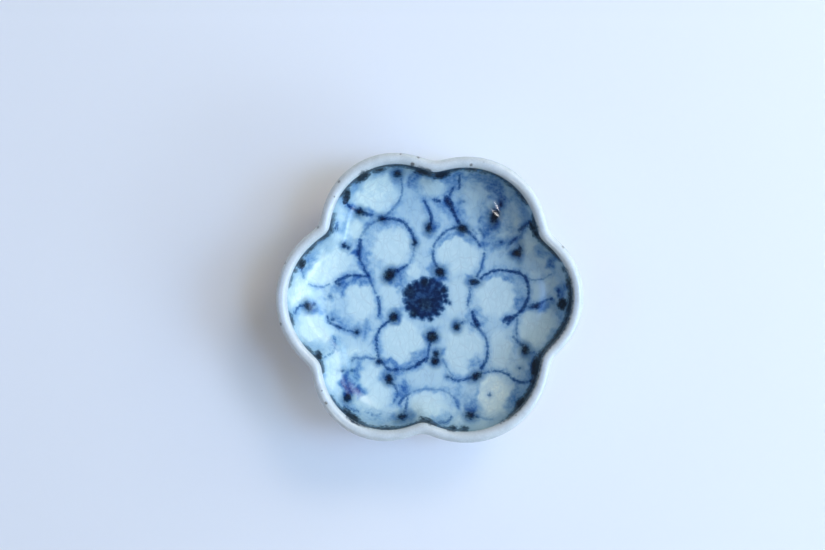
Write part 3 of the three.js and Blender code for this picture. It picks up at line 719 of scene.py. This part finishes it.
def within(x, y, oval):
    """Place within an oval: 0 in its middle, 1 on its edge, growing outwards."""
    cx, cy, half_length, half_width, _, *degrees = oval
    ca, sa = math.cos(math.radians(sum(degrees))), math.sin(math.radians(sum(degrees)))
    dx, dy = x - cx, y - cy
    return np.hypot((dx * ca + dy * sa) / half_length, (dy * ca - dx * sa) / half_width)


def oval_gap(x, y, oval):
    """How far each place lies outside an oval, in mm, as measured across its narrow way."""
    return (within(x, y, oval) - 1) * min(oval[2:4])


x, y = well_top[..., 0].ravel(), well_top[..., 1].ravel()
direction = np.degrees(np.arctan2(y, x)) % 360
inside_lip = lip_edge(np.radians(direction)) - np.hypot(x, y)

ink = np.full(x.shape, FAR)
darkness = np.zeros(x.shape)
for dark, *points in OUTLINES:
    low, high = np.min(points, axis=0) - FAR - 1, np.max(points, axis=0) + FAR + 1
    near = (x > low[0]) & (x < high[0]) & (y > low[1]) & (y < high[1])
    gap = stroke_gap(x[near], y[near], points)
    darkness[near] = np.where(gap < ink[near], dark, darkness[near])
    ink[near] = np.minimum(ink[near], gap)

iron = np.full(x.shape, FAR)
for dot in DOTS:
    gap = oval_gap(x, y, dot)
    darkness = np.where(gap < ink, dot[4], darkness)
    ink = np.minimum(ink, gap)
    iron = np.minimum(iron, gap + FAINT_DOT * (1 - dot[4]))

thickness = np.interp(direction, *np.array(LIP_LINE).T)
lip_line = inside_lip - thickness + BROKEN_AWAY * (1 - ease(thickness, 0, WHOLE_LINE))
lip_dark = np.full(x.shape, PLAIN_LINE)
for mark in LIP_DABS:
    gap = oval_gap(x, y, mark)
    lip_dark = np.where(gap < np.minimum(lip_line, DAB_REACH), mark[4], lip_dark)
    lip_line = np.minimum(lip_line, gap)
lip_line = np.minimum(lip_line, FAR)

away_x, away_y = x - FLOWER[0], y - FLOWER[1]
outwards, around = np.hypot(away_x, away_y), np.arctan2(away_y, away_x)
flower = np.minimum(outwards - FLOWER[2], FAR)
for touch_x, touch_y, radius in FLOWER_TOUCHES:
    flower = np.minimum(flower, np.hypot(x - touch_x, y - touch_y) - radius)
shade = np.zeros(x.shape)
for shade_x, shade_y, radius in FLOWER_SHADES:
    shade = np.maximum(shade, 1 - ease(np.hypot(x - shade_x, y - shade_y), 0.2 * radius, 1.5 * radius))
florets = 0.5 + PALE_RIM * ease(outwards, PALE_FROM, PALE_TO)
for count, start, ring, width in FLORET_RINGS:
    in_ring = np.exp(-((outwards - ring) / width) ** 2)
    florets = florets + FLORET_DEPTH * np.cos(count * around + start) * in_ring

# Washes have wavering edges, so their places are led astray by a slow and a quick wave, in mm
led_x = x + 0.5 * np.sin(0.9 * y + 1.3 * np.sin(0.6 * x)) + 0.25 * np.sin(2.3 * y + 0.8 * x)
led_y = y + 0.5 * np.sin(1.1 * x + 1.2 * np.sin(0.7 * y)) + 0.25 * np.sin(2.6 * x - 0.9 * y)
bare = np.zeros(x.shape)
for petal in BARE_PETALS:
    bare = np.maximum(bare, petal[4] * (1 - ease(within(led_x, led_y, petal), *PETAL_EDGE)))
# The pools add up: those below zero lighten as painted light, those at the right-hand rim darken partly as
# painted shade
pool_and_painted_light = np.zeros(x.shape)
for patch in POOLS_AND_PAINTED_LIGHT:
    pool_and_painted_light = pool_and_painted_light + patch[4] * (1 - ease(within(led_x, led_y, patch), *POOL_EDGE))


def field(piece, name, values):
    """Stores one number for each vertex of the piece, for its material to read."""
    layer = piece.data.attributes.new(name, "FLOAT", "POINT")
    layer.data.foreach_set("value", np.ascontiguousarray(values, dtype=np.float32))


# The mesh holds the back first, whose numbers are plain, then the face from the lip to the middle
back_count = 1 + (len(well_back) - 1) * WELL_TURN
for name, values, on_back in (
        ("ink", ink, FAR), ("darkness", darkness, 0), ("iron", iron, FAR), ("flower", flower, FAR),
        ("florets", florets, 0.5), ("shade", shade, 0), ("wash", WASH * (1 - bare), 0), ("pool_and_painted_light", pool_and_painted_light, 0),
        ("lip_line", lip_line, FAR), ("lip_dark", lip_dark, PLAIN_LINE)):
    rows = values.reshape(len(well_section), WELL_TURN)[::-1]
    field(well_glaze, name, np.concatenate((np.full(back_count, on_back), rows[:-1].ravel(), rows[-1, :1])))


def disc(middle, radius, run):
    """Flat places for rings of points: each ring's distance from the middle is the radius times its
    share of the run along the section, and its points lie round the middle in the order of turn."""
    away = radius * (run / run[-1])[:, None]
    return np.stack((middle + away * np.cos(turn), middle + away * np.sin(turn)), -1)


# The painted face is laid out flat as one large disc, and the hidden back as a small one in a corner.
# The narrow strip between them at the lip lies round the large disc. At the axis the back has
# triangles, and after them rings of four-cornered faces up to the strip.
FACE_MIDDLE, FACE_RADIUS, STRIP_RADIUS = 0.5, 0.49, 0.499
BACK_MIDDLE, BACK_RADIUS = 0.082, 0.08
face_disc = disc(FACE_MIDDLE, FACE_RADIUS, run_along(well_section))[::-1]
back_disc = disc(BACK_MIDDLE, BACK_RADIUS, run_along(well_back))
flat_places = np.concatenate((back_disc[0, :1], back_disc[1:].reshape(-1, 2),
                              face_disc[:-1].reshape(-1, 2), face_disc[-1, :1]))
corner_point = np.empty(len(well_glaze.data.loops), int)
well_glaze.data.loops.foreach_get("vertex_index", corner_point)
corner_place = flat_places[corner_point]
strip_start = WELL_TURN * (3 + 4 * (len(well_back) - 2))
strip = np.arange(strip_start, strip_start + 4 * WELL_TURN)
strip = strip[corner_point[strip] < back_count]
strip_angle = turn[(corner_point[strip] - 1) % WELL_TURN]
corner_place[strip] = FACE_MIDDLE + STRIP_RADIUS * np.stack((np.cos(strip_angle), np.sin(strip_angle)), 1)
bake_layer = well_glaze.data.uv_layers.new(name="OFBake")
bake_layer.data.foreach_set("uv", corner_place.ravel())

# The stain is counted in two amounts, cobalt and black, and each takes this much of red, green and blue
COBALT_TAKES = (1.0, 0.65, 0.29)
BLACK_TAKES = (1.0, 0.98, 1.03)
GLAZE_DEEP = (0.51, 0.665, 0.68, 1)
GLAZE_CLEAR = (0.575, 0.72, 0.725, 1)
CRACK_GREY = (0.27, 0.35, 0.38, 1)
# Crazing: long cracks, then short ones between them, as turn in degrees, squeeze, cells in a mm, darkness
CRACKS = ((20, 0.42, 0.30, 1.0), (-35, 0.5, 0.34, 0.8))
CRACK_BEND = (2.2, 2.2, 2.2)
CRACK_WIDTH = (0.01, 0.05)
GLASS_IOR = 1.5

paint = Brushwork("painted_glaze")
where = paint.place()
mottle = paint.cloud(where, 0.45, 4.0, 0.6)
beads = paint.cloud(where, 1.15, 2.0, 0.5)
grain = paint.cloud(where, 2.6, 3.0, 0.6)
tufts = paint.cloud(where, 0.62, 2.0, 0.5)
heart = paint.cloud(where, 0.33, 3.0, 0.5)
bead_swing = paint.swing(beads, 1.3)
fray = paint.add(bead_swing, paint.swing(grain, 0.3))

# Each mark is darkest at its core, bleeds into a halo, and has an edge frayed by noise. It fades
# between two distances outside its edge, in mm.
ink_gap = paint.add(paint.stored("ink"), fray)
ink_core = paint.fade(ink_gap, -0.5, 0.35)
ink_heart = paint.fade(ink_gap, -1.3, -0.2)
ink_halo = paint.fade(paint.stored("ink"), -0.4, 1.9)
iron_gap = paint.add(paint.stored("iron"), bead_swing)
iron_core = paint.fade(iron_gap, -1.1, 0.8)
iron_halo = paint.fade(paint.add(paint.stored("iron"), paint.swing(mottle, 1.6)), -0.6, 2.4)
strength = paint.times(paint.stored("darkness"), paint.rise(grain, 0.3, 0.62, 1.25, 0.7),
                       paint.rise(iron_gap, -0.9, 0.5, 0.35, 1.0))
rim_gap = paint.add(paint.stored("lip_line"), paint.math("MULTIPLY_ADD", fray, 0.8, -0.1))
rim_core = paint.times(paint.stored("lip_dark"), paint.fade(rim_gap, -0.6, 0.5))
rim_halo = paint.fade(paint.add(paint.stored("lip_line"), paint.swing(mottle, 3.0)), -0.4, 2.6)
flower_gap = paint.add(paint.stored("flower"), paint.swing(beads, 1.2))
flower_face = paint.fade(flower_gap, -1.1, 0.6)
flower_halo = paint.fade(flower_gap, -0.2, 2.0)
floret = paint.add(paint.stored("florets"), paint.swing(tufts, 2.4))
patchy = paint.times(paint.rise(beads, 0.3, 0.7, 0.75, 1.3), paint.rise(mottle, 0.3, 0.7, 0.8, 1.3))

cobalt = paint.total(
    (paint.stored("wash"), paint.rise(mottle, 0.3, 0.7, 0.5, 1.7)),
    # pools of cobalt, with painted light where below zero and in part painted shade at the right-hand rim
    (paint.stored("pool_and_painted_light"), patchy),
    (ink_core, strength, 2.0),
    (ink_heart, strength, 0.7),
    (ink_halo, strength, paint.rise(mottle, 0.35, 0.65, 0.4, 1.1)),
    (iron_core, 0.25),
    (iron_halo, paint.rise(mottle, 0.35, 0.65, 0.4, 0.9)),
    (rim_core, 1.4),
    (rim_halo, 0.25),
    (flower_face, paint.rise(floret, 0.1, 0.9, 2.0, 3.1)),
    (flower_face, paint.stored("shade"), -0.8),
    (flower_halo, 0.25),
)
black = paint.total(
    (ink_core, strength, 0.5),
    (ink_heart, strength, 0.9),
    (iron_core, paint.rise(grain, 0.35, 0.65, 2.3, 1.2)),
    (iron_halo, 0.45),
    (rim_core, paint.rise(beads, 0.35, 0.65, 3.2, 2.0)),
    (rim_halo, 0.1),
    (flower_face, paint.rise(heart, 0.42, 0.6, 0.7, 1.0)),
    (flower_face, paint.rise(floret, 0.2, 1.0, 0.0, 0.5)),
    (flower_face, paint.stored("shade"), 0.6),
)
passed = {}
for channel, (cobalt_takes, black_takes) in enumerate(zip(COBALT_TAKES, BLACK_TAKES)):
    taken = paint.total((cobalt, cobalt_takes), (black, black_takes))
    passed[channel] = paint.math("EXPONENT", paint.times(taken, -1.0))
stain = paint.node("ShaderNodeCombineColor", passed).outputs[0]

bent = paint.node("ShaderNodeTexNoise", {"Vector": where, "Scale": 0.2}).outputs["Color"]
wavy = paint.node("ShaderNodeVectorMath", {0: bent, 1: CRACK_BEND, 2: where}, operation="MULTIPLY_ADD")
crack = 0.0
for turned_by, squeeze, closeness, dark in CRACKS:
    rotation = (0, 0, math.radians(turned_by))
    layout = {"Vector": wavy.outputs[0], "Rotation": rotation, "Scale": (1, squeeze, 1)}
    net = {"Vector": paint.node("ShaderNodeMapping", layout).outputs[0], "Scale": closeness}
    cells = paint.node("ShaderNodeTexVoronoi", net, feature="DISTANCE_TO_EDGE")
    line = paint.fade(cells.outputs["Distance"], *CRACK_WIDTH)
    crack = paint.math("MAXIMUM", crack, paint.times(line, dark))
crack = paint.times(crack, paint.rise(mottle, 0.38, 0.62, 0.06, 0.24))
glaze_white = paint.blend(paint.rise(mottle, 0.3, 0.7), GLAZE_DEEP, GLAZE_CLEAR)
glaze_white = paint.blend(crack, glaze_white, CRACK_GREY)
dimples = paint.math("SUBTRACT", paint.cloud(where, 0.35), paint.times(crack, 0.5))
paint.finish({
    "Base Color": paint.blend(1.0, glaze_white, stain, "MULTIPLY"),
    "Roughness": paint.math("MULTIPLY_ADD", rim_core, 0.45, paint.rise(grain, 0.3, 0.7, 0.07, 0.13)),
    "Normal": paint.bump(dimples, 0.15),
    "IOR": GLASS_IOR,
    "Specular IOR Level": 0.22,
})
well_glaze.data.materials.append(paint.material)
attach(well_glaze, "root")
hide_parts("inner_glaze")

# Outer glaze: the same coat without paint, over the lip, the outside and the foot ring's side.
# It fires to a soft grey-white and shows a few iron specks from the clay, most of them on the lip.
CLAY_LIP = LIP_ROUND - GLAZE
FOOT_FILLET = 1.1
# The coat's lower edge: where its round begins, as a share of the glaze, and its drop and rise in mm
HEM_START, HEM_DROP, HEM_RISE = 0.3, 0.05, 0.5
CLAY_RINGS, BELLY_RINGS, LIP_RINGS, UNDER_RINGS = 6, 60, 20, 24
BELLY_START = FOOT_TOP[1] + GLAZE + FOOT_FILLET
WHITE_COOL = (0.53, 0.58, 0.59, 1)
WHITE_PALE = (0.60, 0.65, 0.655, 1)
SPECK_BROWN = (0.075, 0.07, 0.06, 1)
LINE_BLACK = (0.012, 0.02, 0.035, 1)
# Iron specks on the lip, as x, y and radius in mm
LIP_SPECKS = (
    (-3.4, 44.1, .5), (-9, 45.1, .35), (13.1, 41.6, .5), (-5.3, 41.8, .7), (-28.3, 36.4, .5),
    (-34.9, 22.2, .45), (-45.3, 11, .45), (-46.6, -8.2, .5), (-32.3, -32.8, .5), (41.9, 16, .45),
)
# How far the painted line under the lip runs over the edge on to the lip: (direction in degrees, mm)
LIP_OVER = (
    (0, .4), (8, .3), (14, 0), (30, 0), (33, .2), (36, 0), (88, 0), (90, .4), (92, .5), (94, .3), (96, 0),
    (115, 0), (118, .5), (121, 0), (234, 0), (238, .6), (246, 0), (268, 0), (270, .2), (272, 0), (277, 0),
    (279.5, .3), (282, 0), (298, 0), (306, .45), (345, .45), (347, .5), (353, .4), (360, .4),
)
LEAST_OVER = 0.05
OVER_REACH = 2.5


def over_lip(radius, steps):
    """Half a circle over the lip, from its inner edge to its outer edge."""
    angle = np.linspace(math.pi, 0, steps + 1)
    return np.stack((PETAL_TIP + LIP_ROUND + radius * np.cos(angle), LIP_HEIGHT + radius * np.sin(angle)), 1)


def hem(low, side):
    """Rounded lower edge of a coat on the foot ring, from the clay up. side is 1 outside, -1 inside."""
    face = low + side * GLAZE
    start = (low + side * GLAZE * HEM_START, BARE_EDGE - HEM_DROP)
    return fillet(start, (face, BARE_EDGE), (face, BARE_EDGE + HEM_RISE), 3)


def root(top, side):
    """Soft bend of a coat from the foot ring to the dish's underside. side is 1 outside, -1 inside."""
    face, level = top + side * GLAZE, FOOT_HEIGHT - GLAZE
    return fillet((face, level - FOOT_FILLET), (face, level), (face + side * FOOT_FILLET, level), 6)


belly_clay = rising((BELLY_START, FOOT_HEIGHT), (PETAL_TIP + LIP_WIDTH - GLAZE, LIP_HEIGHT), CLAY_RINGS)
belly_face = rising((BELLY_START, FOOT_HEIGHT - GLAZE), (PETAL_TIP + LIP_WIDTH, LIP_HEIGHT), BELLY_RINGS)
outer_section = np.concatenate((
    over_lip(CLAY_LIP, CLAY_RINGS),
    belly_clay[-2::-1],
    [(FOOT_TOP[1], FOOT_HEIGHT), (outer_low, BARE_EDGE)],
    hem(outer_low, 1),
    root(FOOT_TOP[1], 1),
    belly_face[1:],
    over_lip(LIP_ROUND, LIP_RINGS)[-2::-1],
))
outer_surface = turned(outer_section, outer_turn)
outer_glaze = skin("white_glaze_outside", outer_surface)
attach(outer_glaze, "root")
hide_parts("outer_glaze")

# The specks stay on the lip, and fade where the wall goes down from it
x, y, z = outer_surface.reshape(-1, 3).T
speck = np.full(x.shape, FAR)
for speck_x, speck_y, radius in LIP_SPECKS:
    gap = np.hypot(x - speck_x, y - speck_y) - radius
    speck = np.minimum(speck, gap + np.maximum(LIP_HEIGHT - z, 0))
field(outer_glaze, "speck", speck)
direction = np.arctan2(y, x)
beyond = np.hypot(x, y) - lip_edge(direction)
over = np.interp(np.degrees(direction) % 360, *np.array(LIP_OVER).T)
inked = (z > LIP_HEIGHT) & (beyond < OVER_REACH) & (over > LEAST_OVER)
field(outer_glaze, "lip_line", np.minimum(np.where(inked, beyond - over, FAR), FAR))

white = Brushwork("white_glaze")
where = white.place()
mottle = white.cloud(where, 0.28, 4.0, 0.6)
fine = white.cloud(where, 2.5, 3.0, 0.6)
beads = white.cloud(where, 1.15, 2.0, 0.5)
speck_gap = white.add(white.stored("speck"), white.swing(fine, 0.4))
speck_face = white.rise(speck_gap, -0.35, 0.25, 0.85, 0.0)
pepper = white.node("ShaderNodeTexVoronoi", {"Vector": where, "Scale": 0.21}, feature="F1")
chance = white.node("ShaderNodeSeparateColor", {0: pepper.outputs["Color"]}).outputs[0]
pepper_face = white.times(
    white.rise(pepper.outputs["Distance"], 0.03, 0.085, 0.7, 0.0), white.math("GREATER_THAN", chance, 0.55))
fray = white.add(white.swing(beads, 1.04), white.swing(fine, 0.24))
line_face = white.fade(white.add(white.stored("lip_line"), fray), -0.5, 0.45)
glaze_grey = white.blend(white.rise(mottle, 0.3, 0.7), WHITE_COOL, WHITE_PALE)
glaze_grey = white.blend(white.math("MAXIMUM", speck_face, pepper_face), glaze_grey, SPECK_BROWN)
white.finish({
    "Base Color": white.blend(line_face, glaze_grey, LINE_BLACK),
    "Roughness": white.rise(fine, 0.3, 0.7, 0.2, 0.32),
    "Normal": white.bump(white.cloud(where, 0.9), 0.25),
    "IOR": GLASS_IOR,
    "Coat Weight": 0.3,
    "Coat Roughness": 0.12,
})
outer_glaze.data.materials.append(white.material)

# Foot-well glaze: the plain coat inside the foot ring, wiped off 1.3 mm above its bottom edge.
# It is the white glaze of the outside, parted from it by the ring, and has no drawn specks or line.
ceiling = FOOT_HEIGHT - GLAZE
foot_well_section = np.concatenate((
    straight((0, ceiling), (FOOT_TOP[0] - GLAZE - FOOT_FILLET, ceiling), UNDER_RINGS),
    root(FOOT_TOP[0], -1)[-2::-1],
    hem(inner_low, -1)[::-1],
    [(inner_low, BARE_EDGE), (FOOT_TOP[0], FOOT_HEIGHT), (0, FOOT_HEIGHT)],
))
foot_well = skin("white_glaze_under", turned(foot_well_section, outer_turn))
for name in ("speck", "lip_line"):
    field(foot_well, name, np.full(len(foot_well.data.vertices), FAR))
foot_well.data.materials.append(white.material)
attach(foot_well, "root")
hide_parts("foot_well_glaze")
